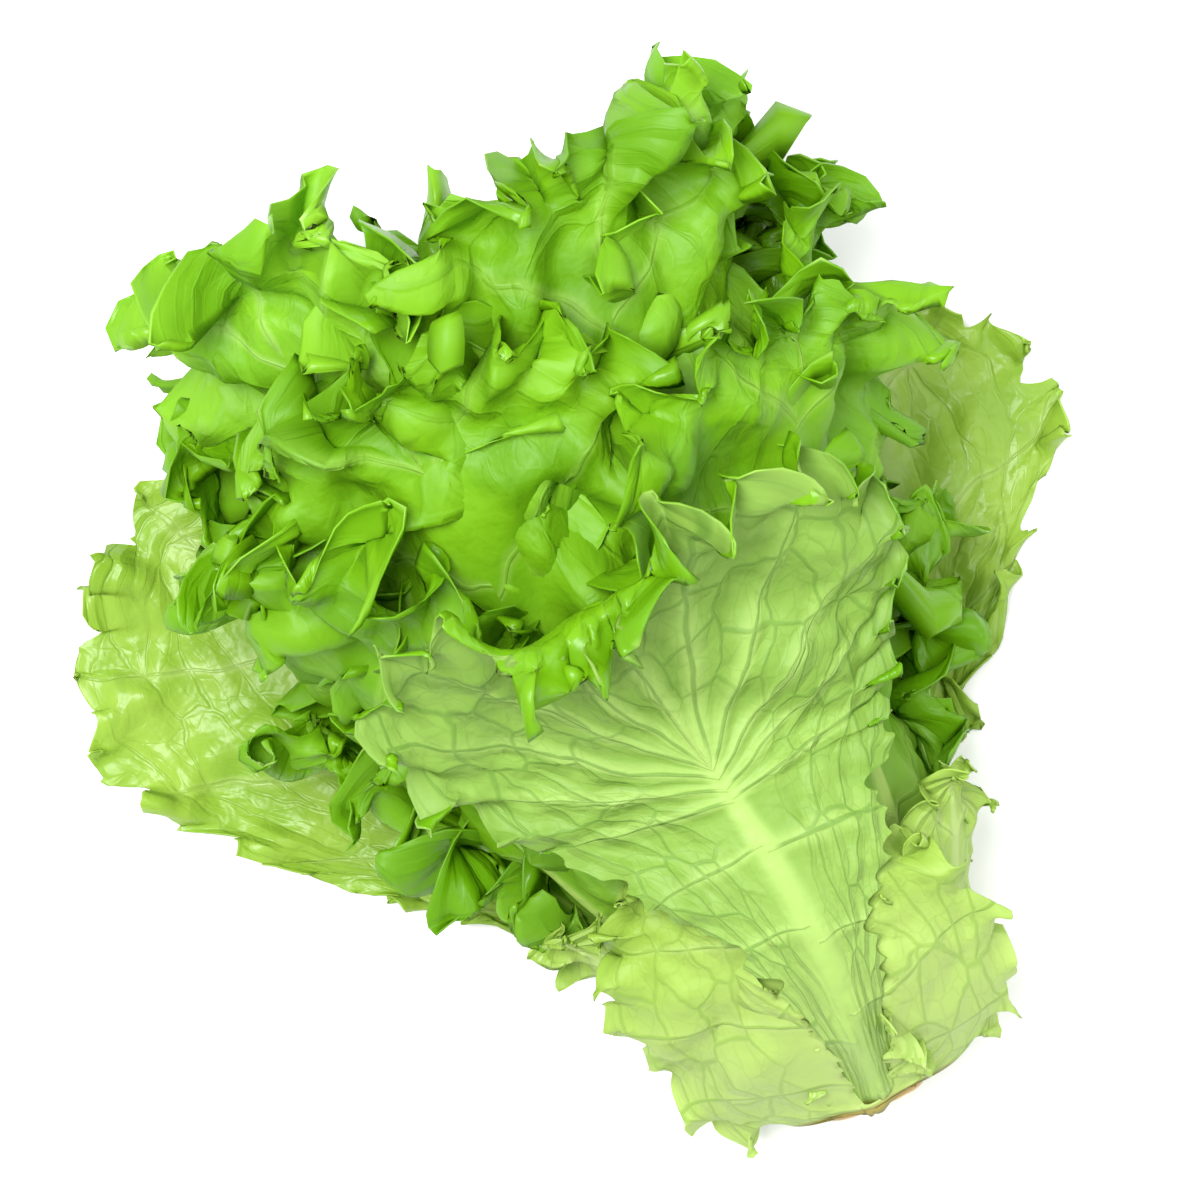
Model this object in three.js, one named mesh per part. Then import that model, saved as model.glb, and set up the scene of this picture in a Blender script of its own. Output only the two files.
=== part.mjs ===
// A head of green leaf lettuce lying on its side, as picked: a cut stem core with leaves attached round it.
// Millimetres, +Z up. The head runs along +Y from the cut stem to the frilled crown.
// The leaves are plain curved sheets here: their frills, ribs and veins are not part of these solids.
import * as THREE from "three";
import { mergeVertices } from "three/addons/utils/BufferGeometryUtils.js";

// Driving dimensions
const STEM_RADIUS = 14; // of the cut face
const CORE_LENGTH = 70; // from the cut face to the growing point
const CORE_TIP_RADIUS = 3;
const STEM_HEIGHT = 32; // of the stem's axis above the table
const UNDERSIDE_GAP = 10; // from the table to the lowest sheet of the head
const TOP_SQUASH = 0.7; // height over half-width of the head's upper side
const BOTTOM_SQUASH = 0.42; // the same below its axis, where its weight has pressed it flat
const SQUASH_LENGTH = 120; // distance from the stem over which the round base becomes flattened
const SIDE_LEAN = -10; // sideways, of the crown from the stem's axis
const RIB_PER_AXIS = 1.1; // length of an outer leaf's rib over the length of axis beside it
const PETIOLE_HALF_WIDTH = 8;
const PETIOLE_THICKNESS = 1.7; // of the largest leaves, at the foot
const FRONT_HALF_WIDTH = 80; // of the outermost ring's blades
const LARGE_HALF_WIDTH = 92; // towards it the next rings' blades widen
const BLADE_THICKNESS = 1.0;
const LEAF_CLEARANCE = 0.9; // between a leaf's foot and the core
const WIDEST_WRAP = THREE.MathUtils.degToRad(57); // half of the arc that a ring's leaf may cover

const RINGS = 9; // rings of three leaves in the head, outermost first
const RING_STEP = 5.6; // along the core, from one ring's feet to the next
const FIRST_RING = 13; // from the cut face to the outermost ring's feet
const RING_TURN = 47; // degrees that each ring is turned from the one outside it
const FRONT_AZIMUTH = 4; // degrees from straight up towards +X, of the outermost top leaf

const smooth = (low, high, x) => THREE.MathUtils.smoothstep(x, low, high);
const mix = THREE.MathUtils.lerp;

const coreRadius = (along) =>
  mix(STEM_RADIUS, CORE_TIP_RADIUS, Math.pow(Math.min(1, along / CORE_LENGTH), 1.4));

// A leaf's midrib as distances along and away from the head's axis: its angle to the axis runs from
// the foot's to the middle's to the tip's.
function midrib({ foot, length, angles }) {
  const steps = 60;
  const at = [[foot, coreRadius(foot) + LEAF_CLEARANCE + PETIOLE_THICKNESS / 2]];
  for (let i = 0; i < steps; i++) {
    const t = (i + 0.5) / steps;
    const degrees =
      angles[0] +
      (angles[1] - angles[0]) * smooth(0, 0.4, t) +
      (angles[2] - angles[1]) * smooth(0.5, 1, t);
    const angle = THREE.MathUtils.degToRad(degrees);
    const [a, r] = at[i];
    at.push([a + (Math.cos(angle) * length) / steps, r + (Math.sin(angle) * length) / steps]);
  }
  return (y) => {
    const place = THREE.MathUtils.clamp((y / length) * steps, 0, steps - 1e-6);
    const i = Math.floor(place);
    return [0, 1].map((k) => mix(at[i][k], at[i + 1][k], place - i));
  };
}

// The ring that leaf i of the head belongs to sets its length, width and how far it opens.
function ringLeaf(ring, place) {
  const inward = ring / (RINGS - 1);
  const length = 206 + 62 * smooth(-0.1, 0.35, inward) - 150 * smooth(0.45, 1, inward);
  return {
    name: `head_leaf_${String(ring * 3 + place).padStart(2, "0")}`,
    azimuth: FRONT_AZIMUTH + ring * RING_TURN + place * 120,
    foot: FIRST_RING + ring * RING_STEP,
    length,
    halfWidth: ring === 0 ? FRONT_HALF_WIDTH : mix(LARGE_HALF_WIDTH, 34, Math.pow(inward, 1.1)),
    angles: [
      mix(38, 17, inward),
      mix(25, 2, Math.sqrt(inward)),
      mix(46, 12, Math.pow(inward, 0.7)),
    ],
    loose: 1,
  };
}

// The leaves at the front. The big fan is the outermost, and its narrow foot passes over the short
// leaves round the stem. A loose leaf is flatter than the head it lies on.
const frontLeaves = [
  {
    name: "front_fan_leaf", azimuth: 2, foot: 5, length: 216, halfWidth: FRONT_HALF_WIDTH,
    angles: [46, 25, 44], loose: 1.6, slimness: 4.5,
  },
  {
    name: "base_leaf_top", azimuth: -4, foot: 7, length: 100, halfWidth: 54,
    angles: [46, 31, 22], loose: 1.6,
  },
  {
    name: "base_leaf_left", azimuth: -80, foot: 9.5, length: 88, halfWidth: 42,
    angles: [44, 30, 30], loose: 1.2,
  },
  {
    name: "base_leaf_right", azimuth: 74, foot: 9.5, length: 92, halfWidth: 40,
    angles: [44, 30, 28], loose: 1.2,
  },
];

// The large outer leaves that have fallen open and lie on the table. Each turns from the head's
// surface at its foot to its own heading across the table, at a level above it where leaves cross.
const tableLeaves = [
  {
    name: "under_leaf", azimuth: 180, foot: 0.5, length: 214, halfWidth: 58,
    angles: [52, 38, 30], loose: 1, heading: -4, level: 0, spread: 30,
  },
  {
    name: "splayed_leaf_left", azimuth: -126, foot: 5, length: 256, halfWidth: 66,
    angles: [46, 42, 40], loose: 1, heading: -27, level: 2.4, spread: 64,
  },
  {
    name: "splayed_leaf_right", azimuth: 124, foot: 5, length: 208, halfWidth: 60,
    angles: [46, 42, 40], loose: 1, heading: 20, level: 4.8, spread: 64,
  },
];

// The fan stands in the outermost ring's first place.
const headLeaves = Array.from({ length: RINGS * 3 }, (_, i) => ringLeaf(Math.floor(i / 3), i % 3)).slice(1);

// Flattens the round head under its own weight. Sheets that are nested stay nested.
const outermost = midrib(headLeaves[0]);
function layDown(x, along, z) {
  const pressed = smooth(0, SQUASH_LENGTH, along);
  const below = mix(1, BOTTOM_SQUASH, pressed);
  const above = mix(1, TOP_SQUASH, pressed);
  const [, headRadius] = outermost(Math.max(0, along) * RIB_PER_AXIS);
  const axisHeight = Math.max(STEM_HEIGHT, UNDERSIDE_GAP + below * headRadius);
  const lean = SIDE_LEAN * smooth(40, 160, along);
  return new THREE.Vector3(x + lean, along, axisHeight + z * (z > 0 ? above : below));
}

// Half of a blade's width at a share v of its length: narrow at the foot, widest near the tip.
function halfWidthAt(leaf, v) {
  const swell = Math.pow(Math.sin((Math.PI / 2) * Math.min(1, v / 0.72)), leaf.slimness ?? 1.2);
  return mix(PETIOLE_HALF_WIDTH, leaf.halfWidth, swell) * (1 - 0.18 * smooth(0.72, 1, v));
}

// The middle surface of a leaf: x across its flat blade and y along it, to a point of the head.
function bladeSurface(leaf) {
  const rib = midrib(leaf);
  const azimuth = THREE.MathUtils.degToRad(leaf.azimuth);
  const [sine, cosine] = [Math.sin(azimuth), Math.cos(azimuth)];
  const onHead = (x, y) => {
    const [along, reach] = rib(y);
    const curl = leaf.loose * reach;
    const turn = x / Math.max(curl, halfWidthAt(leaf, y / leaf.length) / WIDEST_WRAP);
    const out = reach - curl * (1 - Math.cos(turn));
    const side = curl * Math.sin(turn);
    return layDown(out * sine + side * cosine, along, out * cosine - side * sine);
  };
  if (leaf.heading === undefined) return onHead;
  const heading = THREE.MathUtils.degToRad(leaf.heading);
  const foot = onHead(0, 0);
  return (x, y) => {
    const flat = new THREE.Vector3(
      foot.x + y * Math.sin(heading) - x * Math.cos(heading),
      foot.y + y * Math.cos(heading) + x * Math.sin(heading),
      0,
    );
    const outside = smooth(74, 100, Math.abs(flat.x));
    flat.z = BLADE_THICKNESS / 2 + leaf.level * (1 - outside);
    return onHead(x, y).lerp(flat, smooth(4, leaf.spread, y));
  };
}

// A flat blank, one unit across each half and along, bent into the leaf.
function leafMesh(leaf, colour) {
  const across = 6;
  const along = 7;
  const blank = new THREE.BoxGeometry(2, 1, 1, across, along, 1).translate(0, 0.5, 0);
  blank.deleteAttribute("normal");
  blank.deleteAttribute("uv");
  const geometry = mergeVertices(blank);
  const surface = bladeSurface(leaf);
  const points = geometry.getAttribute("position");
  const epsilon = 0.05;
  for (let i = 0; i < points.count; i++) {
    const [u, v, through] = [points.getX(i), points.getY(i), points.getZ(i)];
    const x = u * halfWidthAt(leaf, v);
    const y = leaf.length * v * (1 - 0.2 * u * u * v * v);
    const middle = surface(x, y);
    const sideways = surface(x + epsilon, y).sub(surface(x - epsilon, y));
    const onwards = surface(x, y + epsilon).sub(surface(x, Math.max(0, y - epsilon)));
    const normal = sideways.cross(onwards).normalize();
    const footThickness = PETIOLE_THICKNESS * Math.sqrt(leaf.halfWidth / LARGE_HALF_WIDTH);
    const thickness = mix(footThickness, BLADE_THICKNESS, smooth(0, 0.14, v));
    middle.addScaledVector(normal, through * thickness);
    points.setXYZ(i, middle.x, middle.y, middle.z);
  }
  const mesh = new THREE.Mesh(geometry, leafMaterial(colour));
  mesh.name = leaf.name;
  return mesh;
}

const leafMaterial = (colour) =>
  new THREE.MeshStandardMaterial({ color: colour, roughness: 0.45, metalness: 0 });

function coreMesh() {
  const profile = [new THREE.Vector2(0, 0)];
  const steps = 8;
  for (let i = 0; i <= steps; i++) {
    const along = (CORE_LENGTH * i) / steps;
    profile.push(new THREE.Vector2(coreRadius(along), along));
  }
  profile.push(new THREE.Vector2(0, CORE_LENGTH + CORE_TIP_RADIUS));
  const geometry = new THREE.LatheGeometry(profile, 20);
  const points = geometry.getAttribute("position");
  for (let i = 0; i < points.count; i++) {
    const place = layDown(points.getX(i), points.getY(i), points.getZ(i));
    points.setXYZ(i, place.x, place.y, place.z);
  }
  const mesh = new THREE.Mesh(
    geometry,
    new THREE.MeshStandardMaterial({ color: 0xe4ebc0, roughness: 0.6, metalness: 0 }),
  );
  mesh.name = "stem_core";
  return mesh;
}

const PALE_OUTER_GREEN = 0xb4d66e;
const CROWN_GREEN = 0x7fc23a;
const lettuce = new THREE.Group();
lettuce.add(coreMesh());
frontLeaves.forEach((leaf) => lettuce.add(leafMesh(leaf, PALE_OUTER_GREEN)));
tableLeaves.forEach((leaf) => lettuce.add(leafMesh(leaf, PALE_OUTER_GREEN)));
headLeaves.forEach((leaf) => lettuce.add(leafMesh(leaf, CROWN_GREEN)));

// The origin is under the middle of the head, on the table.
const box = new THREE.Box3().setFromObject(lettuce, true);
const centre = box.getCenter(new THREE.Vector3());
lettuce.position.set(-centre.x, -centre.y, -box.min.z);

export default lettuce;
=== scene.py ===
import math

import bmesh
import bpy
import numpy as np
from mathutils import Matrix, Vector


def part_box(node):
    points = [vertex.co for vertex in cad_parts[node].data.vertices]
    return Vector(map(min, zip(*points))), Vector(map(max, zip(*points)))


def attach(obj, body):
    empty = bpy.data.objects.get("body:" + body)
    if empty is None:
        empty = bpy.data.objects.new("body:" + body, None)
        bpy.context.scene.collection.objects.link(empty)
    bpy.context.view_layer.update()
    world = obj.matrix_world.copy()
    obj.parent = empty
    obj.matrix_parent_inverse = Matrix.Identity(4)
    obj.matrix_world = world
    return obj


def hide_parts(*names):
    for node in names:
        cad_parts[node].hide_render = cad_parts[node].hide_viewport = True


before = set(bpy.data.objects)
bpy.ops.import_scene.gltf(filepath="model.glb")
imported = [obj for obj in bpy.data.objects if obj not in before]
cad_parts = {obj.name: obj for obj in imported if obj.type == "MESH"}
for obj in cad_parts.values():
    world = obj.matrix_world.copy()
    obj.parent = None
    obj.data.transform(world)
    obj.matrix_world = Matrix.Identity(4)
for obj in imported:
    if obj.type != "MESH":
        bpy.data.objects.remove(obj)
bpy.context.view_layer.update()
print("frame loaded")

# Sizes are in millimetres and angles in degrees until a mesh is made: metre() then turns them to metres.
# The head's own frame runs along +Y from the middle of the cut stem, on the table.
head = {
    "stemRadius": 14, "coreLength": 70, "coreTipRadius": 3, "stemHeight": 32,
    "undersideGap": 10,  # between the table and the lowest leaf of the head
    "topSquash": 0.7, "bottomSquash": 0.42, "squashLength": 120,  # the head lies flattened
    "sideLean": -16,  # of the crown from the stem's axis
    "footClearance": 0.9, "petioleHalfWidth": 8, "petioleThickness": 1.7,
    "ribPerAxis": 1.1, "widestWrap": math.radians(57), "frontHalfWidth": 80, "largeHalfWidth": 92,
}
rings = {"count": 9, "leaves": 3, "first": 13, "step": 5.6, "turn": 47, "azimuth": 4}
stemLow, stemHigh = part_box("stem_core")
headOrigin = np.array([(stemLow.x + stemHigh.x) / 2, stemLow.y, 0])


def ease(low, high, x):
    t = np.clip((x - low) / (high - low), 0, 1)
    return t * t * (3 - 2 * t)


def mix(a, b, t):
    return a + (b - a) * t


def metre(points):
    return points * 0.001 + headOrigin


def unit(v):
    return v / np.maximum(np.linalg.norm(v, axis=-1, keepdims=True), 1e-9)


def wander(s, step, dice):  # a slow random swing along s, between -1 and 1
    knots = dice.uniform(-1, 1, int(np.ptp(s) / step) + 4)
    place = (s - s.min()) / step + dice.uniform(0, 1)
    i = np.floor(place).astype(int)
    return mix(knots[i], knots[i + 1], ease(0, 1, place - i))


# The head's form, the same as the solids'
def coreRadius(along):
    share = np.minimum(1, along / head["coreLength"]) ** 1.4
    return mix(head["stemRadius"], head["coreTipRadius"], share)


def ribLine(leaf):  # distances along and away from the head's axis, down a leaf's midrib
    steps = 60
    t = (np.arange(steps) + 0.5) / steps
    foot, middle, tip = leaf["angles"]
    angle = np.radians(foot + (middle - foot) * ease(0, 0.4, t) + (tip - middle) * ease(0.5, 1, t))
    start = coreRadius(leaf["foot"]) + head["footClearance"] + head["petioleThickness"] / 2
    along = leaf["foot"] + np.concatenate([[0], np.cumsum(np.cos(angle))]) * leaf["length"] / steps
    away = start + np.concatenate([[0], np.cumsum(np.sin(angle))]) * leaf["length"] / steps
    return np.linspace(0, leaf["length"], steps + 1), along, away


def halfWidthAt(leaf, v):
    swell = np.sin(np.pi / 2 * np.clip(v / 0.72, 0, 1)) ** leaf["slimness"]
    return mix(head["petioleHalfWidth"], leaf["solidHalfWidth"], swell) * (1 - 0.18 * ease(0.72, 1, v))


def layDown(x, along, z):
    pressed = ease(0, head["squashLength"], along)
    below = mix(1, head["bottomSquash"], pressed)
    above = mix(1, head["topSquash"], pressed)
    y, _, away = outermostRib
    headRadius = np.interp(np.maximum(0, along) * head["ribPerAxis"], y, away)
    axisHeight = np.maximum(head["stemHeight"], head["undersideGap"] + below * headRadius)
    lean = head["sideLean"] * ease(40, 160, along)
    return np.stack([x + lean, along, axisHeight + z * np.where(z > 0, above, below)], axis=-1)


def bladeSurface(leaf, x, y):  # from a flat blade to its place in the head
    ribY, ribAlong, ribAway = leaf["rib"]
    over = np.maximum(0, y - leaf["length"])
    along = np.interp(y, ribY, ribAlong) + over * math.cos(math.radians(leaf["angles"][2]))
    reach = np.interp(y, ribY, ribAway) + over * math.sin(math.radians(leaf["angles"][2]))
    curl = leaf["loose"] * reach
    turn = x / np.maximum(curl, halfWidthAt(leaf, y / leaf["length"]) / head["widestWrap"])
    out = reach - curl * (1 - np.cos(turn))
    side = curl * np.sin(turn)
    sine, cosine = math.sin(math.radians(leaf["azimuth"])), math.cos(math.radians(leaf["azimuth"]))
    place = layDown(out * sine + side * cosine, along, out * cosine - side * sine)
    if leaf.get("heading") is None:
        return place
    heading = math.radians(leaf["heading"])
    foot = layDown(ribAway[0] * sine, ribAlong[0], ribAway[0] * cosine)
    flatX = foot[0] + y * math.sin(heading) - x * math.cos(heading)
    flatY = foot[1] + y * math.cos(heading) + x * math.sin(heading)
    flatZ = 0.5 + leaf["level"] * (1 - ease(74, 100, np.abs(flatX)))
    lying = ease(4, leaf["spread"], y)[..., None]
    return place * (1 - lying) + np.stack([flatX, flatY, flatZ], axis=-1) * lying


# The leaves: the places are those of the solids, the rest is how each one grew.
frill = {
    "columns": 110, "rows": 30, "tipFullness": 0.3, "taper": 0.7, "slimness": 1.2, "wider": 1, "lift": 0,
    "petiole": 8, "under": True, "reach": 1, "fold": (0, 0.1, 0),
    "ribReach": 0.84, "knee": 0, "fan": 1.5,  # where along the midrib the lateral ribs leave it
    "veins": 7, "blade": 0.5, "ribHeight": 3.0, "ribHalfWidth": 5, "veinHeight": 0.5, "veinHalfWidth": 1.6,
    # share of the ray, wavelength, swing in degrees
    "swell": (0.6, 75, 22),
    # width of the bent strip, wavelength, swing in degrees, sideways sway
    "ruffle": (40, 24, 80, 3.5), "crimp": (12, 10, 54, 1.2), "nip": (4, 4.6, 34, 0.2),
    "lean": 24, "leanSwing": 30, "pucker": ((34, 4.2), (13, 0.9)), "teeth": (4, 3), "lobes": (28, 17),
    "frillFrom": (0.32, 0.6), "floor": 5, "surface": "crown",
}
fanLeaf = dict(
    frill, node="front_fan_leaf", azimuth=2, foot=5, length=216, solidHalfWidth=80, slimness=4.5,
    angles=(46, 25, 44), loose=1.6, surface="front", columns=150, tipFullness=0.3, taper=1.8, lift=5,
    under=False,
    ribReach=0.58, knee=104, fan=1.6, veins=9, veinHeight=2.0, veinHalfWidth=2.6, frillFrom=(0.5, 0.66),
    swell=(0.36, 90, 10), ruffle=(24, 22, 80, 2.8), crimp=(9, 9, 50, 0.9), lean=16, leanSwing=30,
    pucker=((40, 2.0), (12, 0.5)), teeth=(6.5, 3), lobes=(30, 7), fold=(-0.055, 0.085, 125),
)
base = dict(
    frill, surface="base", columns=120, taper=0.4, tipFullness=0.5, veins=6, veinHeight=0.7, ribHeight=2.0,
    swell=(0.6, 60, 12), ruffle=(20, 19, 62, 2.4), crimp=(8, 8, 42, 0.8), lean=0, leanSwing=18,
    pucker=((30, 1.8), (11, 0.4)), teeth=(7, 3.6), lobes=(30, 8), frillFrom=(0.02, 0.1),
    petiole=15,
)
baseLeaves = [
    fanLeaf,
    dict(base, node="base_leaf_top", azimuth=-8, foot=3, length=110, solidHalfWidth=54,
         angles=(46, 31, 22), loose=1.6, wider=1.15),
    dict(base, node="base_leaf_left", azimuth=-68, foot=6, length=94, solidHalfWidth=42,
         angles=(44, 30, 30), loose=1.2, wider=1.2),
    dict(base, node="base_leaf_right", azimuth=66, foot=6, length=94, solidHalfWidth=40,
         angles=(44, 30, 28), loose=1.2, wider=1.15),
]
outer = dict(
    frill, surface="outer", columns=150, taper=1.0, veins=7, veinHeight=0.6, loose=1, floor=0.6,
    swell=(0.6, 80, 12), ruffle=(24, 24, 60, 2.6), crimp=(10, 10, 42, 1), lean=-14, leanSwing=16,
    pucker=((34, 2.6), (12, 0.6)), teeth=(8, 3.4), lobes=(34, 12), frillFrom=(0.1, 0.3),
)
tableLeaves = [
    dict(outer, node="under_leaf", azimuth=180, foot=0.5, length=214, solidHalfWidth=58,
         angles=(52, 38, 30), heading=-4, level=0, spread=30),
    dict(outer, node="splayed_leaf_left", azimuth=-126, foot=5, length=256, solidHalfWidth=66,
         angles=(46, 42, 40), heading=-27, level=2.4, spread=64, taper=2.6, tipFullness=0.7, reach=1.04),
    dict(outer, node="splayed_leaf_right", azimuth=124, foot=5, length=226, solidHalfWidth=60,
         angles=(46, 42, 40), heading=19, level=4.8, spread=64, taper=2.8, tipFullness=0.6),
]


def ringLeaf(ring, place):
    inward = ring / (rings["count"] - 1)
    width = mix(head["largeHalfWidth"], 34, inward**1.1) if ring else head["frontHalfWidth"]
    return dict(
        frill, node=f"head_leaf_{ring * rings['leaves'] + place:02d}",
        azimuth=rings["azimuth"] + ring * rings["turn"] + place * 120,
        foot=rings["first"] + ring * rings["step"],
        length=206 + 62 * ease(-0.1, 0.35, inward) - 150 * ease(0.45, 1, inward),
        solidHalfWidth=width, loose=1,
        angles=(mix(38, 17, inward), mix(25, 2, math.sqrt(inward)), mix(46, 12, inward**0.7)),
        columns=int(mix(140, 40, inward)), surface="crown" if ring < 4 else "heart",
    )


headLeaves = [ringLeaf(ring, place) for ring in range(rings["count"]) for place in range(rings["leaves"])]
outermostRib = ribLine(headLeaves.pop(0))  # the fan stands in its place
# they end at different heights, so that every frill shows
for number, reach, wider in (
        (1, 0.8, 0.66), (2, 0.82, 0.66), (3, 0.94, 0.95), (5, 0.92, 0.9), (6, 0.95, 0.85), (8, 0.92, 1),
        (10, 0.9, 0.9), (13, 1.03, 1), (16, 1.05, 1)):
    headLeaves[number - 1].update(reach=reach, wider=wider)


# A leaf's flat outline, from the left of its foot round the tip to the right, in even steps
def outline(leaf, count):
    turn = np.linspace(-np.pi, np.pi, 4001)
    rise = (1 + np.cos(turn)) / 2
    swell = (1 - rise) ** leaf["tipFullness"] * rise ** leaf["taper"]
    x = leaf["wider"] * leaf["solidHalfWidth"] * swell / swell.max() + leaf["petiole"] * (1 - rise) ** 3
    x = x * np.sign(turn)
    y = leaf["length"] * leaf["reach"] * rise
    s = np.concatenate([[0], np.cumsum(np.hypot(np.diff(x), np.diff(y)))])
    even = np.linspace(0, s[-1], count)
    return even - s[-1] / 2, np.interp(even, s, x), np.interp(even, s, y)


def teeth(s, spacing, depth, shape, dice):  # how far the edge is cut back between points
    gaps = spacing * dice.uniform(0.55, 1.6, int(np.ptp(s) / spacing * 2) + 8)
    tips = s.min() + np.cumsum(gaps) - gaps[0]
    i = np.clip(np.searchsorted(tips, s, side="right") - 1, 0, len(tips) - 2)
    share = (s - tips[i]) / (tips[i + 1] - tips[i])
    gapShare = np.diff(tips, append=tips[-1] + spacing) / spacing
    cut = depth * dice.uniform(0.25, 1.5, len(tips)) * np.sqrt(gapShare)
    return cut[i] * shape(np.sin(np.pi * np.clip(share, 0, 1)))


def pucker(x, y, wave, dice):  # waves over a flat blade, of about one length and every direction
    total = 0
    for _ in range(8):
        turn, phase = dice.uniform(0, 6.28, 2)
        pitch = 6.28 / (wave * dice.uniform(0.75, 1.35))
        total = total + np.sin(pitch * (x * math.cos(turn) + y * math.sin(turn)) + phase)
    return total / 2


def evened(field, reach):  # averaged along the edge, over as many steps to each side
    padded = np.pad(field, ((reach + 1, reach), (0, 0), (0, 0)), mode="edge")
    total = np.cumsum(padded, axis=0)
    return (total[2 * reach + 1:] - total[:-2 * reach - 1]) / (2 * reach + 1)


def bladeFrame(points, reach):
    along, outward = np.gradient(points, axis=0), np.gradient(points, axis=1)
    normal = unit(evened(evened(unit(np.cross(along, outward)), reach), reach))
    tangent = unit(evened(along, reach))
    return tangent, unit(np.cross(normal, tangent)), normal


# Bends the outer strip of a blade to and fro, without stretching it from rib to edge
def ruffle(points, s, margin, width, wave, swing, sway, lean, dice):
    step = s[1] - s[0]
    tangent, outward, normal = bladeFrame(points, max(1, int(wave / step / 4)))
    phase = 2 * np.pi * np.cumsum(step / (wave * (1 + 0.35 * wander(s, 2.4 * wave, dice))))
    phase = phase + dice.uniform(0, 6.28)
    strength = 0.8 + 0.4 * wander(s, 1.7 * wave, dice)
    bend = np.radians(swing) * strength * np.sin(phase) + np.radians(lean)
    width = width * (1 + 0.25 * wander(s, 2 * wave, dice))
    share = np.clip(margin / width[:, None], 0, 1)
    out = up = 0
    pieces = 12
    for k in range(pieces):
        here = share + (1 - share) * (k + 0.5) / pieces
        angle = bend[:, None] * (1 - here) ** 1.0
        out = out + np.cos(angle) / pieces
        up = up + np.sin(angle) / pieces
    length = width[:, None] * (1 - share)
    aside = sway * np.sin(2 * phase)[:, None] * (1 - share) ** 1.3
    shift = outward * (length * (out - 1))[..., None] + normal * (length * up)[..., None]
    return points + shift + tangent * aside[..., None]


# The height of the fan over the table, in squares: what is under its inner part stays under it
canopy = {"square": 5, "low": -150, "count": 90, "inside": 13, "petioleInside": 4, "gap": 2}
canopyHeight = np.full((canopy["count"], canopy["count"]), np.inf)


def canopySquare(points):
    square = (points[..., :2] - (canopy["low"], -20)) / canopy["square"]
    return tuple(np.clip(square.astype(int), 0, canopy["count"] - 1).reshape(-1, 2).T)


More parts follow.
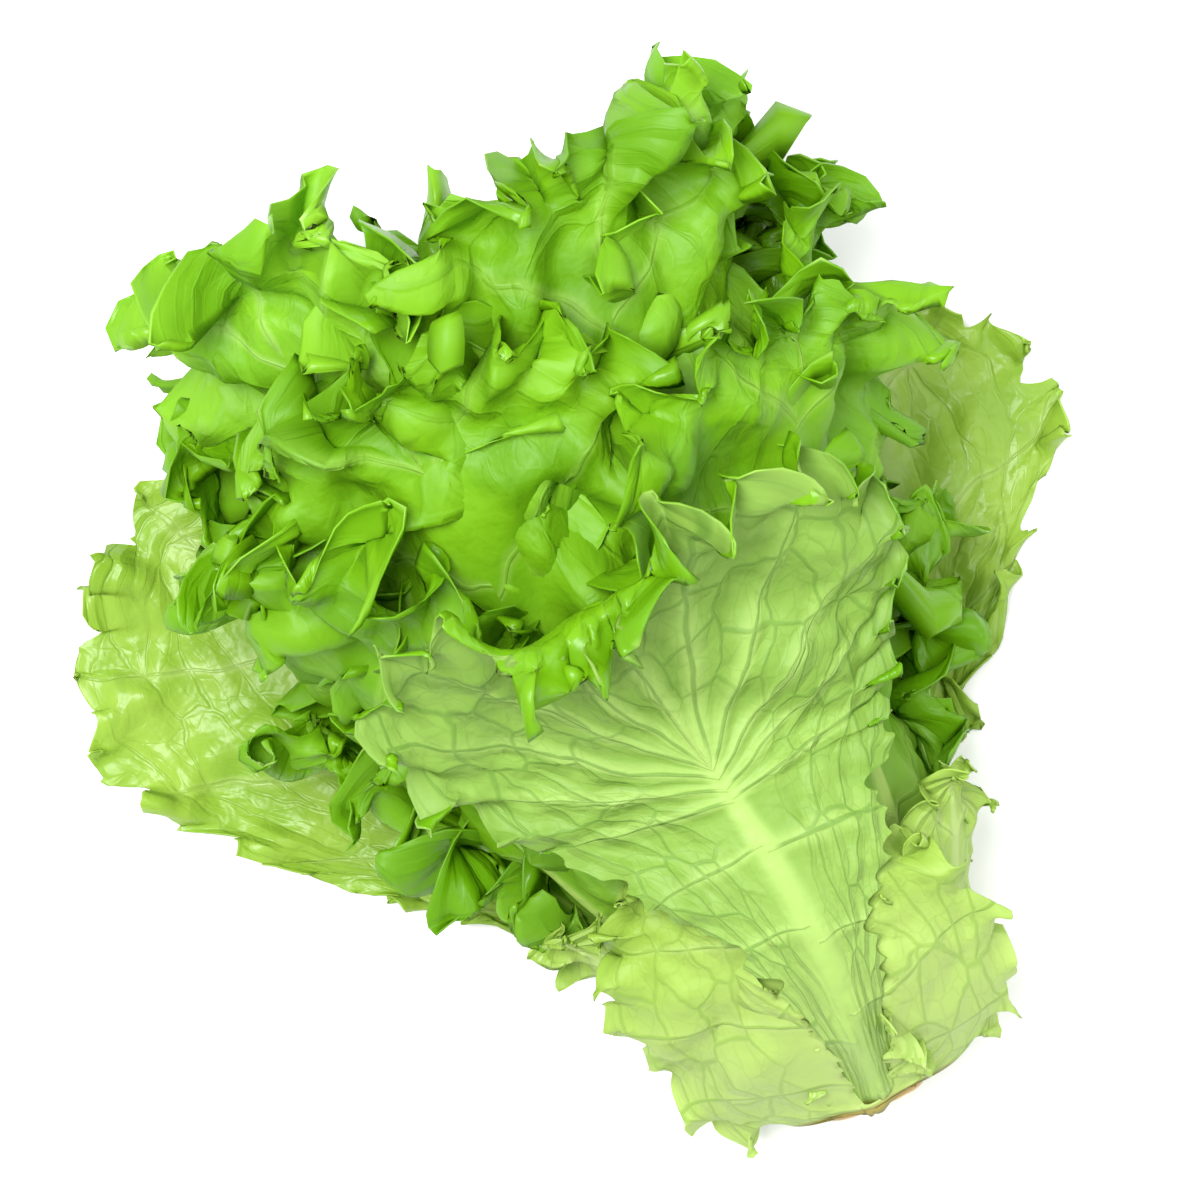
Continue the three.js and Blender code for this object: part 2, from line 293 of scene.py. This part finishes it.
def growLeaf(leaf, seed):
    dice = np.random.default_rng(seed)
    leaf["rib"] = ribLine(leaf)
    count = leaf["columns"] * 4 + 1
    s, edgeX, edgeY = outline(leaf, count)
    rise = edgeY / edgeY.max()
    knee = leaf["knee"]
    rootY = knee + (leaf["length"] * leaf["reach"] * leaf["ribReach"] - knee) * rise ** leaf["fan"]
    rootY = np.minimum(rootY, mix(edgeY, rootY, ease(0.3, 0.7, rise)))
    ray = np.hypot(edgeX, edgeY - rootY)
    grown = ease(0.06, 0.3, rise)  # the foot's edge is plain
    notch = teeth(s, *leaf["teeth"], lambda arc: arc**0.7, dice)
    lobes = teeth(s, *leaf["lobes"], lambda arc: 1 - arc**0.5, dice)
    notch = notch + evened(lobes[:, None, None], 3)[:, 0, 0]
    notch = np.minimum(notch * grown, 0.5 * ray)
    row = np.linspace(0, 1, leaf["rows"] + 1)
    inward = (1 - row) ** 1.5
    fromRib = (1 - inward)[None, :] * (ray - notch)[:, None]
    margin = ray[:, None] - fromRib
    share = fromRib / ray[:, None]
    flatX = edgeX[:, None] * share
    flatY = rootY[:, None] + (edgeY - rootY)[:, None] * share
    points = bladeSurface(leaf, flatX, flatY)

    # ribs stand out on the outer side
    small = 0.3
    across = bladeSurface(leaf, flatX + small, flatY) - bladeSurface(leaf, flatX - small, flatY)
    onward = bladeSurface(leaf, flatX, flatY + small) - bladeSurface(leaf, flatX, flatY - small)
    outside = unit(np.cross(across, onward))
    slim = 1 - 0.8 * ease(0, 0.9, flatY / leaf["length"])
    ribWidth = leaf["ribHalfWidth"] * slim
    ribHeight = leaf["ribHeight"] * slim ** 1.5 * np.exp(-((flatX / ribWidth) ** 2))
    p = s / s.max()
    vein = leaf["veins"] * p + 0.3 * wander(p, 1.5 / leaf["veins"], dice)
    span = np.hypot(np.gradient(flatX, s, axis=0), np.gradient(flatY, s, axis=0)) * s.max() / leaf["veins"]
    offVein = np.abs(vein - np.round(vein))[:, None] * span
    veinHeight = leaf["veinHeight"] * (1 - share) ** 0.6 * np.exp(-((offVein / leaf["veinHalfWidth"]) ** 2))
    veinHeight = veinHeight * ease(0, 0.1, share) * ease(0, 4 * leaf["veinHalfWidth"], span)

    for wave, height in leaf["pucker"]:
        rough = height * pucker(flatX, flatY, wave, dice)
        rough = rough * ease(2, 26, fromRib) * ease(0.1, 0.4, flatY / leaf["length"])
        points = points + outside * rough[..., None]
    points = points + outside * leaf["lift"] * ease(0.2, 0.5, flatY / leaf["length"])[..., None]

    width, wave, swing, sway = leaf["ruffle"]
    frilled = ease(*leaf["frillFrom"], rise)
    smooth = points
    big, bigWave, bigSwing = leaf["swell"]
    foldAt, foldReach, foldBend = leaf["fold"]
    lean = leaf["lean"] + leaf["leanSwing"] * wander(s, 60, dice)
    lean = lean + foldBend * np.exp(-(((p - foldAt) / foldReach) ** 4))
    points = ruffle(points, s, margin, ray * big, bigWave, bigSwing * frilled, 0, lean * frilled, dice)
    points = ruffle(points, s, margin, np.minimum(width, 0.85 * ray), wave, swing * frilled, sway, 0, dice)
    for width, wave, swing, sway in (leaf["crimp"], leaf["nip"]):
        width = np.minimum(width, 0.5 * ray)
        points = ruffle(points, s, margin, width, wave, swing * frilled, sway, 0, dice)
    points = mix(smooth, points, ease(0, 0.3, frilled)[:, None, None])
    raised = ribHeight + veinHeight
    if leaf["under"]:
        ceiling = canopyHeight[canopySquare(points)].reshape(share.shape) - canopy["gap"]
        points[..., 2] = np.minimum(points[..., 2], ceiling)
    if leaf["surface"] == "front":
        inner = points[margin > np.where(flatY < knee, canopy["petioleInside"], canopy["inside"])]
        np.minimum.at(canopyHeight, canopySquare(inner), inner[:, 2])
    low = leaf["floor"] + raised + leaf["blade"]
    points[..., 2] = low + np.logaddexp(0, (points[..., 2] - low) * 1.5) / 1.5
    points = points + outside * (raised + leaf["blade"] / 2)[..., None]
    return {
        "points": points, "thickness": raised + leaf["blade"], "flat": np.stack([flatX, flatY], axis=-1),
        "vein": np.stack([np.broadcast_to(vein[:, None], share.shape), share], axis=-1),
        "span": span, "margin": margin,
    }


def leafPiece(name, leaf, seed):
    grown = growLeaf(leaf, seed)
    columns, rows = leaf["columns"], leaf["rows"]
    bm = bmesh.new()
    bmesh.ops.create_grid(bm, x_segments=columns, y_segments=rows, size=1)
    for start in (0.4, 0.74):  # the edge needs twice the columns, then four times
        finer = [e for e in bm.edges
                 if abs(e.verts[0].co.y - e.verts[1].co.y) < 1e-5 and e.verts[0].co.y > 2 * start - 1]
        bmesh.ops.subdivide_edges(bm, edges=finer, cuts=1)
    mesh = bpy.data.meshes.new(name)
    bm.to_mesh(mesh)
    place = np.empty(len(mesh.vertices) * 3)
    mesh.vertices.foreach_get("co", place)
    place = place.reshape(-1, 3)
    i = np.rint((place[:, 0] + 1) / 2 * columns * 4).astype(int)
    j = np.rint((place[:, 1] + 1) / 2 * rows).astype(int)
    mesh.vertices.foreach_set("co", metre(grown["points"][i, j]).ravel())
    corner = np.empty(len(mesh.loops), dtype=int)
    mesh.loops.foreach_get("vertex_index", corner)
    for layer, scale in (("flat", 0.001), ("vein", 1)):
        mesh.uv_layers.new(name=layer + "Map").data.foreach_set(
            "uv", (grown[layer][i, j][corner] * scale).ravel())
    for layer in ("span", "margin"):
        mesh.attributes.new(layer, "FLOAT", "POINT").data.foreach_set("value", grown[layer][i, j] * 0.001)
    thickness = grown["thickness"]
    mesh.attributes.new("thickness", "FLOAT", "POINT").data.foreach_set("value", thickness[i, j])
    bm.clear()
    bm.from_mesh(mesh)
    bmesh.ops.remove_doubles(bm, verts=bm.verts, dist=1e-6)
    layer = bm.verts.layers.float["thickness"]
    group = bm.verts.layers.deform.verify()
    for v in bm.verts:
        v[group][0] = v[layer] / thickness.max()
    for face in bm.faces:
        face.smooth = True
    bm.to_mesh(mesh)
    bm.free()
    piece = bpy.data.objects.new(name, mesh)
    bpy.context.scene.collection.objects.link(piece)
    piece.vertex_groups.new(name="thickness")
    shell = piece.modifiers.new("blade", "SOLIDIFY")
    shell.thickness = thickness.max() * 0.001
    shell.offset = -1
    shell.vertex_group = "thickness"
    shell.material_offset = 1
    shell.material_offset_rim = 1
    under, upper = leafSurfaces[leaf["surface"]]
    mesh.materials.append(under)
    mesh.materials.append(upper)
    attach(piece, "root")
    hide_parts(leaf["node"])
    return piece


# Materials
def hexColour(text):
    channels = [int(text[k:k + 2], 16) / 255 for k in (1, 3, 5)]
    return [c / 12.92 if c <= 0.04045 else ((c + 0.055) / 1.055) ** 2.4 for c in channels] + [1]


def addNode(tree, kind, settings=None, inputs=None):
    made = tree.nodes.new(kind)
    for name, value in (settings or {}).items():
        setattr(made, name, value)
    for name, value in (inputs or {}).items():
        if isinstance(value, bpy.types.NodeSocket):
            tree.links.new(value, made.inputs[name])
        else:
            made.inputs[name].default_value = value
    return made


def leafMaterial(name, look):
    made = bpy.data.materials.new(name)
    made.use_nodes = True
    tree = made.node_tree
    tree.nodes.clear()
    smoothStep = {"interpolation_type": "SMOOTHSTEP"}
    edgeOfCells = {"feature": "DISTANCE_TO_EDGE", "voronoi_dimensions": "2D"}
    mixed = {"data_type": "RGBA"}
    flat = addNode(tree, "ShaderNodeUVMap", {"uv_map": "flatMap"}).outputs[0]
    lanes = addNode(tree, "ShaderNodeUVMap", {"uv_map": "veinMap"}).outputs[0]
    across = addNode(tree, "ShaderNodeSeparateXYZ", {}, {0: flat})
    lane = addNode(tree, "ShaderNodeSeparateXYZ", {}, {0: lanes})
    span = addNode(tree, "ShaderNodeAttribute", {"attribute_name": "span"}).outputs["Fac"]
    margin = addNode(tree, "ShaderNodeAttribute", {"attribute_name": "margin"}).outputs["Fac"]

    # a wandering lateral rib down the middle of each lane: a pale band with a thin darker line
    drift = addNode(tree, "ShaderNodeTexNoise", {}, {"Vector": flat, "Scale": 45, "Detail": 1}).outputs[0]
    drift = addNode(
        tree, "ShaderNodeMath", {"operation": "MULTIPLY_ADD"}, {0: drift, 1: 0.3, 2: -0.15}).outputs[0]
    lateral = addNode(
        tree, "ShaderNodeMath", {"operation": "ADD"}, {0: lane.outputs[0], 1: drift}).outputs[0]
    nearest = addNode(tree, "ShaderNodeMath", {"operation": "ROUND"}, {0: lateral}).outputs[0]
    lateral = addNode(
        tree, "ShaderNodeMath", {"operation": "SUBTRACT"}, {0: lateral, 1: nearest}).outputs[0]
    lateral = addNode(tree, "ShaderNodeMath", {"operation": "ABSOLUTE"}, {0: lateral}).outputs[0]
    lateral = addNode(tree, "ShaderNodeMath", {"operation": "MULTIPLY"}, {0: lateral, 1: span}).outputs[0]
    band = addNode(tree, "ShaderNodeMapRange", smoothStep, {
        0: lateral, 1: 0.0005, 2: look["bandWidth"], 3: 1, 4: 0}).outputs[0]
    outwards = addNode(
        tree, "ShaderNodeMapRange", smoothStep, {0: lane.outputs[1], 1: 0.3, 2: 1, 3: 1, 4: 0}).outputs[0]
    band = addNode(tree, "ShaderNodeMath", {"operation": "MULTIPLY"}, {0: band, 1: outwards}).outputs[0]
    line = addNode(
        tree, "ShaderNodeMapRange", smoothStep, {0: lateral, 1: 0.0002, 2: 0.0008, 3: 1, 4: 0}).outputs[0]

    # the net of small veins between the ribs, drawn out along them
    stray = addNode(tree, "ShaderNodeTexNoise", {}, {"Vector": flat, "Scale": 60, "Detail": 2}).outputs[1]
    stray = addNode(
        tree, "ShaderNodeVectorMath", {"operation": "MULTIPLY"}, {0: stray, 1: (0.5, 0.12, 0)}).outputs[0]
    strayed = addNode(tree, "ShaderNodeVectorMath", {"operation": "ADD"}, {0: lanes, 1: stray}).outputs[0]
    coarse = addNode(
        tree, "ShaderNodeVectorMath", {"operation": "MULTIPLY"}, {0: strayed, 1: (1.3, 5.5, 0)}).outputs[0]
    cells = addNode(
        tree, "ShaderNodeTexVoronoi", edgeOfCells, {"Vector": coarse, "Scale": 1}).outputs["Distance"]
    fine = addNode(
        tree, "ShaderNodeVectorMath", {"operation": "MULTIPLY"}, {0: strayed, 1: (4, 13, 0)}).outputs[0]
    fineCells = addNode(
        tree, "ShaderNodeTexVoronoi", edgeOfCells, {"Vector": fine, "Scale": 1}).outputs["Distance"]
    net = addNode(
        tree, "ShaderNodeMapRange", smoothStep, {0: cells, 1: 0.01, 2: 0.06, 3: 0.8, 4: 0}).outputs[0]
    fineNet = addNode(
        tree, "ShaderNodeMapRange", smoothStep, {0: fineCells, 1: 0.01, 2: 0.1, 3: 0.25, 4: 0}).outputs[0]
    net = addNode(tree, "ShaderNodeMath", {"operation": "MAXIMUM"}, {0: net, 1: fineNet}).outputs[0]
    rooted = addNode(
        tree, "ShaderNodeMapRange", smoothStep, {0: lane.outputs[1], 1: 0.08, 2: 0.4}).outputs[0]
    net = addNode(tree, "ShaderNodeMath", {"operation": "MULTIPLY"}, {0: net, 1: rooted}).outputs[0]
    veins = addNode(tree, "ShaderNodeMath", {"operation": "MAXIMUM"}, {0: net, 1: line}).outputs[0]
    veinShow = addNode(
        tree, "ShaderNodeMath", {"operation": "MULTIPLY"}, {0: veins, 1: look["veinShow"]}).outputs[0]
    bandShow = addNode(
        tree, "ShaderNodeMath", {"operation": "MULTIPLY"}, {0: band, 1: look["bandShow"]}).outputs[0]

    # the midrib, narrower towards the tip
    fromRib = addNode(
        tree, "ShaderNodeMath", {"operation": "ABSOLUTE"}, {0: across.outputs[0]}).outputs[0]
    ribWidth = addNode(tree, "ShaderNodeMapRange", {}, {
        0: across.outputs[1], 1: 0, 2: look["ribTo"], 3: 0.006, 4: 0.0008}).outputs[0]
    fromRib = addNode(
        tree, "ShaderNodeMath", {"operation": "DIVIDE"}, {0: fromRib, 1: ribWidth}).outputs[0]
    rib = addNode(
        tree, "ShaderNodeMapRange", smoothStep, {0: fromRib, 1: 0.4, 2: 1.5, 3: 1, 4: 0}).outputs[0]
    ribEnd = addNode(tree, "ShaderNodeMapRange", smoothStep, {
        0: across.outputs[1], 1: look["ribTo"] * 0.6, 2: look["ribTo"], 3: 1, 4: 0}).outputs[0]
    rib = addNode(tree, "ShaderNodeMath", {"operation": "MULTIPLY"}, {0: rib, 1: ribEnd}).outputs[0]

    # fresh green in soft patches, paler towards the foot and the midrib, with a painted highlight: a light
    # rim at the edge
    patch = addNode(tree, "ShaderNodeTexNoise", {}, {"Vector": flat, "Scale": 30, "Detail": 3}).outputs[0]
    patch = addNode(tree, "ShaderNodeMapRange", smoothStep, {0: patch, 1: 0.35, 2: 0.65}).outputs[0]
    colour = addNode(tree, "ShaderNodeMix", mixed, {
        0: patch, 6: hexColour(look["blade"]), 7: hexColour(look["bladeDeep"])}).outputs[2]
    pale = addNode(tree, "ShaderNodeMapRange", smoothStep, {
        0: across.outputs[1], 1: look["paleTo"] * 0.25, 2: look["paleTo"], 3: 1, 4: 0}).outputs[0]
    colour = addNode(
        tree, "ShaderNodeMix", mixed, {0: pale, 6: colour, 7: hexColour(look["pale"])}).outputs[2]
    colour = addNode(
        tree, "ShaderNodeMix", mixed, {0: bandShow, 6: colour, 7: hexColour(look["rib"])}).outputs[2]
    colour = addNode(
        tree, "ShaderNodeMix", mixed, {0: veinShow, 6: colour, 7: hexColour(look["vein"])}).outputs[2]
    colour = addNode(
        tree, "ShaderNodeMix", mixed, {0: rib, 6: colour, 7: hexColour(look["rib"])}).outputs[2]
    # painted highlight: the colour lightens within about 2 mm of the leaf's edge, standing in for light
    # caught along the edge's thickness
    edge = addNode(tree, "ShaderNodeMapRange", smoothStep, {
        0: margin, 1: 0.0003, 2: 0.002, 3: look["edgeHighlightShow"], 4: 0}).outputs[0]
    colour = addNode(
        tree, "ShaderNodeMix", mixed, {0: edge, 6: colour, 7: hexColour(look["edge"])}).outputs[2]
    scar = addNode(tree, "ShaderNodeMapRange", smoothStep, {
        0: across.outputs[1], 1: 0.0004, 2: 0.0022, 3: 0.8, 4: 0}).outputs[0]
    colour = addNode(
        tree, "ShaderNodeMix", mixed, {0: scar, 6: colour, 7: hexColour("#9a8440")}).outputs[2]

    # relief: cells puffed between the veins on one side of the blade and hollow on the other
    puff = addNode(
        tree, "ShaderNodeMapRange", smoothStep, {0: cells, 1: 0, 2: 0.4, 3: 0, 4: 0.0011}).outputs[0]
    puff = addNode(tree, "ShaderNodeMath", {"operation": "MULTIPLY"}, {0: puff, 1: rooted}).outputs[0]
    groove = addNode(
        tree, "ShaderNodeMath", {"operation": "MULTIPLY_ADD"}, {0: veins, 1: -0.0003, 2: puff}).outputs[0]
    lumps = addNode(
        tree, "ShaderNodeTexNoise", {}, {"Vector": flat, "Scale": 170, "Detail": 2}).outputs[0]
    relief = addNode(
        tree, "ShaderNodeMath", {"operation": "MULTIPLY_ADD"}, {0: lumps, 1: 0.0009, 2: groove}).outputs[0]
    relief = addNode(
        tree, "ShaderNodeMath", {"operation": "MULTIPLY"}, {0: relief, 1: look["relief"]}).outputs[0]
    bump = addNode(
        tree, "ShaderNodeBump", {}, {"Height": relief, "Distance": 1, "Strength": 0.7}).outputs[0]
    skin = addNode(tree, "ShaderNodeBsdfPrincipled", {}, {
        "Base Color": colour, "Roughness": look["roughness"], "IOR": 1.42, "Normal": bump,
        "Specular IOR Level": 0.5})
    # light through the blade, yellower than what it reflects
    through = addNode(tree, "ShaderNodeMix", dict(mixed, blend_type="MULTIPLY"), {
        0: 1, 6: colour, 7: hexColour("#fff6b0")}).outputs[2]
    through = addNode(tree, "ShaderNodeBsdfTranslucent", {}, {"Color": through, "Normal": bump})
    blade = addNode(tree, "ShaderNodeMixShader", {}, {0: 0.36, 1: skin.outputs[0], 2: through.outputs[0]})
    addNode(tree, "ShaderNodeOutputMaterial", {}, {"Surface": blade.outputs[0]})
    return made


# each look also holds the colour and strength of a painted highlight along the leaf's edge
leafLooks = {
    "crown": dict(blade="#7cb713", bladeDeep="#68a30a", pale="#a9cf5e",
                  vein="#5f9a10", rib="#b4d66a", edge="#b9e070",
                  veinShow=0.25, bandShow=0.25, bandWidth=0.003, edgeHighlightShow=0.6, paleTo=0.1, ribTo=0.13),
    "heart": dict(blade="#8cc62a", bladeDeep="#76b414", pale="#c4e084",
                  vein="#6fae22", rib="#cfe696", edge="#c2e67e",
                  veinShow=0.25, bandShow=0.25, bandWidth=0.003, edgeHighlightShow=0.6, paleTo=0.09, ribTo=0.1),
    "front": dict(blade="#8fb64e", bladeDeep="#82aa42", pale="#a6c868",
                  vein="#5f8c30", rib="#acce6c", edge="#a2c94a",
                  veinShow=0.6, bandShow=0.8, bandWidth=0.0045, edgeHighlightShow=0.5, paleTo=0.11, ribTo=0.19),
    "outer": dict(blade="#a0c548", bladeDeep="#8fb938", pale="#b4d070",
                  vein="#83ac38", rib="#c0d884", edge="#bcdc68",
                  veinShow=0.4, bandShow=0.5, bandWidth=0.003, edgeHighlightShow=0.5, paleTo=0.1, ribTo=0.2),
    "base": dict(blade="#a6c658", bladeDeep="#97bb44", pale="#b4d070",
                  vein="#84ac3c", rib="#b8d278", edge="#b6d860",
                 veinShow=0.55, bandShow=0.6, bandWidth=0.003, edgeHighlightShow=0.5, paleTo=0.09, ribTo=0.11),
}
leafSurfaces = {}
for surface, look in leafLooks.items():
    under = dict(look, relief=-1.0, roughness=0.5)
    upper = dict(look, relief=1.0, roughness=0.3)
    if surface == "front":
        upper = dict(leafLooks["crown"], relief=1.0, roughness=0.3)
    leafSurfaces[surface] = [
        leafMaterial(surface + "LeafUnderside", under), leafMaterial(surface + "LeafFace", upper)]
print("materials made")

for seed, leaf in enumerate(baseLeaves + tableLeaves + headLeaves):
    leafPiece(leaf["node"] + "_frilled", leaf, 100 + seed)
print("leaves grown")


# The stem: a cut face that has begun to brown at its rim, and the core that the leaves grow from
stem = {
    "around": 64, "faceRows": 8, "sideRows": 34, "rounding": 1.4, "dome": 0.8,
    "knobs": 0.5, "knobLength": 9,
}


def stemMaterial():
    made = bpy.data.materials.new("cutStem")
    made.use_nodes = True
    tree = made.node_tree
    tree.nodes.clear()
    smoothStep = {"interpolation_type": "SMOOTHSTEP"}
    flat = addNode(tree, "ShaderNodeUVMap", {"uv_map": "flatMap"}).outputs[0]
    place = addNode(tree, "ShaderNodeSeparateXYZ", {}, {0: flat}).outputs[1]
    mottle = addNode(
        tree, "ShaderNodeTexNoise", {}, {"Vector": flat, "Scale": 260, "Detail": 4}).outputs[0]
    rim = addNode(
        tree, "ShaderNodeMath", {"operation": "MULTIPLY_ADD"}, {0: mottle, 1: 0.004, 2: place}).outputs[0]
    # moist cream pith, a browned ring where the milk dried, then pale green rind
    browned = addNode(tree, "ShaderNodeMapRange", smoothStep, {0: rim, 1: 0.0125, 2: 0.0155}).outputs[0]
    rind = addNode(tree, "ShaderNodeMapRange", smoothStep, {0: rim, 1: 0.0165, 2: 0.019}).outputs[0]
    colour = addNode(tree, "ShaderNodeMix", {"data_type": "RGBA"}, {
        0: browned, 6: hexColour("#e6e9c0"), 7: hexColour("#b3955a")}).outputs[2]
    colour = addNode(tree, "ShaderNodeMix", {"data_type": "RGBA"}, {
        0: rind, 6: colour, 7: hexColour("#c3da86")}).outputs[2]
    bump = addNode(
        tree, "ShaderNodeBump", {}, {"Height": mottle, "Distance": 0.0006, "Strength": 0.6}).outputs[0]
    skin = addNode(tree, "ShaderNodeBsdfPrincipled", {}, {
        "Base Color": colour, "Roughness": 0.45, "IOR": 1.4, "Normal": bump})
    addNode(tree, "ShaderNodeOutputMaterial", {}, {"Surface": skin.outputs[0]})
    return made


def stemPiece():
    dice = np.random.default_rng(7)
    face = np.linspace(0, 1, stem["faceRows"] + 1) * (head["stemRadius"] - stem["rounding"])
    side = np.linspace(0, 1, stem["sideRows"]) ** 1.3 * head["coreLength"]
    away = np.concatenate([face, coreRadius(side + stem["rounding"]) - 0.1, [0]])
    along = np.concatenate([stem["dome"] * (face / face.max()) ** 2, side + stem["rounding"],
                            [head["coreLength"] + head["coreTipRadius"]]])
    path = np.concatenate([[0], np.cumsum(np.hypot(np.diff(away), np.diff(along)))])
    turn = np.linspace(0, 2 * np.pi, stem["around"] + 1)[:, None]
    knobs = pucker(turn * head["stemRadius"], along[None, :], stem["knobLength"], dice)
    knobs = knobs - stem["knobs"] - np.abs(knobs)
    knobs = stem["knobs"] * np.cos(turn) ** 2 * knobs * np.sin(turn) ** 2
    away = away[None, :] + knobs * ease(2, 8, along)[None, :]
    points = metre(layDown(away * np.sin(turn), along[None, :] + 0 * turn, away * np.cos(turn)))
    rows = len(along) - 1
    bm = bmesh.new()
    bmesh.ops.create_grid(bm, x_segments=stem["around"], y_segments=rows, size=1)
    layer = bm.loops.layers.uv.new("flatMap")
    for v in bm.verts:
        i, j = round((v.co.x + 1) / 2 * stem["around"]), round((v.co.y + 1) / 2 * rows)
        v.co = points[i, j]
        for loop in v.link_loops:
            loop[layer].uv = (i / stem["around"] * 0.088, path[j] * 0.001)
    bmesh.ops.remove_doubles(bm, verts=bm.verts, dist=1e-6)
    bmesh.ops.recalc_face_normals(bm, faces=bm.faces)
    for part in bm.faces:
        part.smooth = True
    mesh = bpy.data.meshes.new("cut_stem")
    bm.to_mesh(mesh)
    bm.free()
    mesh.materials.append(stemMaterial())
    piece = bpy.data.objects.new("cut_stem", mesh)
    bpy.context.scene.collection.objects.link(piece)
    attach(piece, "root")
    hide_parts("stem_core")


stemPiece()
print("stem made")


# Stage
def areaLight(name, place, target, size, power, tint=(1, 1, 1)):
    light = bpy.data.lights.new(name, "AREA")
    light.size = size
    light.energy = power
    light.color = tint
    lamp = bpy.data.objects.new(name, light)
    lamp.location = place
    lamp.rotation_euler = (Vector(target) - Vector(place)).to_track_quat("-Z", "Y").to_euler()
    bpy.context.scene.collection.objects.link(lamp)


middle = metre(np.array([-16.7, 160.9, 60.0]))
floorMesh = bpy.data.meshes.new("tableTop")
bm = bmesh.new()
bmesh.ops.create_grid(bm, x_segments=1, y_segments=1, size=4)
bm.to_mesh(floorMesh)
bm.free()
floor = bpy.data.objects.new("tableTop", floorMesh)
bpy.context.scene.collection.objects.link(floor)
paper = bpy.data.materials.new("paleBackdrop")
paper.use_nodes = True
paper.node_tree.nodes["Principled BSDF"].inputs["Base Color"].default_value = (0.95, 0.95, 0.95, 1)
paper.node_tree.nodes["Principled BSDF"].inputs["Roughness"].default_value = 0.9
floorMesh.materials.append(paper)

world = bpy.data.worlds.new("studio")
world.use_nodes = True
world.node_tree.nodes["Background"].inputs[0].default_value = (1, 1, 1, 1)
world.node_tree.nodes["Background"].inputs[1].default_value = 0.8
bpy.context.scene.world = world
areaLight("key", middle + np.array([-0.35, 0.35, 1.5]), middle, 0.8, 41)
areaLight("fill", middle + np.array([1.0, -0.2, 1.2]), middle, 1.2, 13)
bpy.context.scene.view_settings.view_transform = "Standard"

view = {"distance": 1.5, "field": 0.33, "turn": math.radians(23)}
camera = bpy.data.cameras.new("camera")
camera.sensor_width = 36
camera.lens = 36 * view["distance"] / view["field"]
shooter = bpy.data.objects.new("camera", camera)
sine, cosine = math.sin(view["turn"]), math.cos(view["turn"])
turned = Matrix(((cosine, sine, 0), (-sine, cosine, 0), (0, 0, 1)))
above = Vector(middle) + Vector((0, 0, view["distance"]))
shooter.matrix_world = Matrix.Translation(above) @ turned.to_4x4()
bpy.context.scene.collection.objects.link(shooter)
bpy.context.scene.camera = shooter
print("stage set")
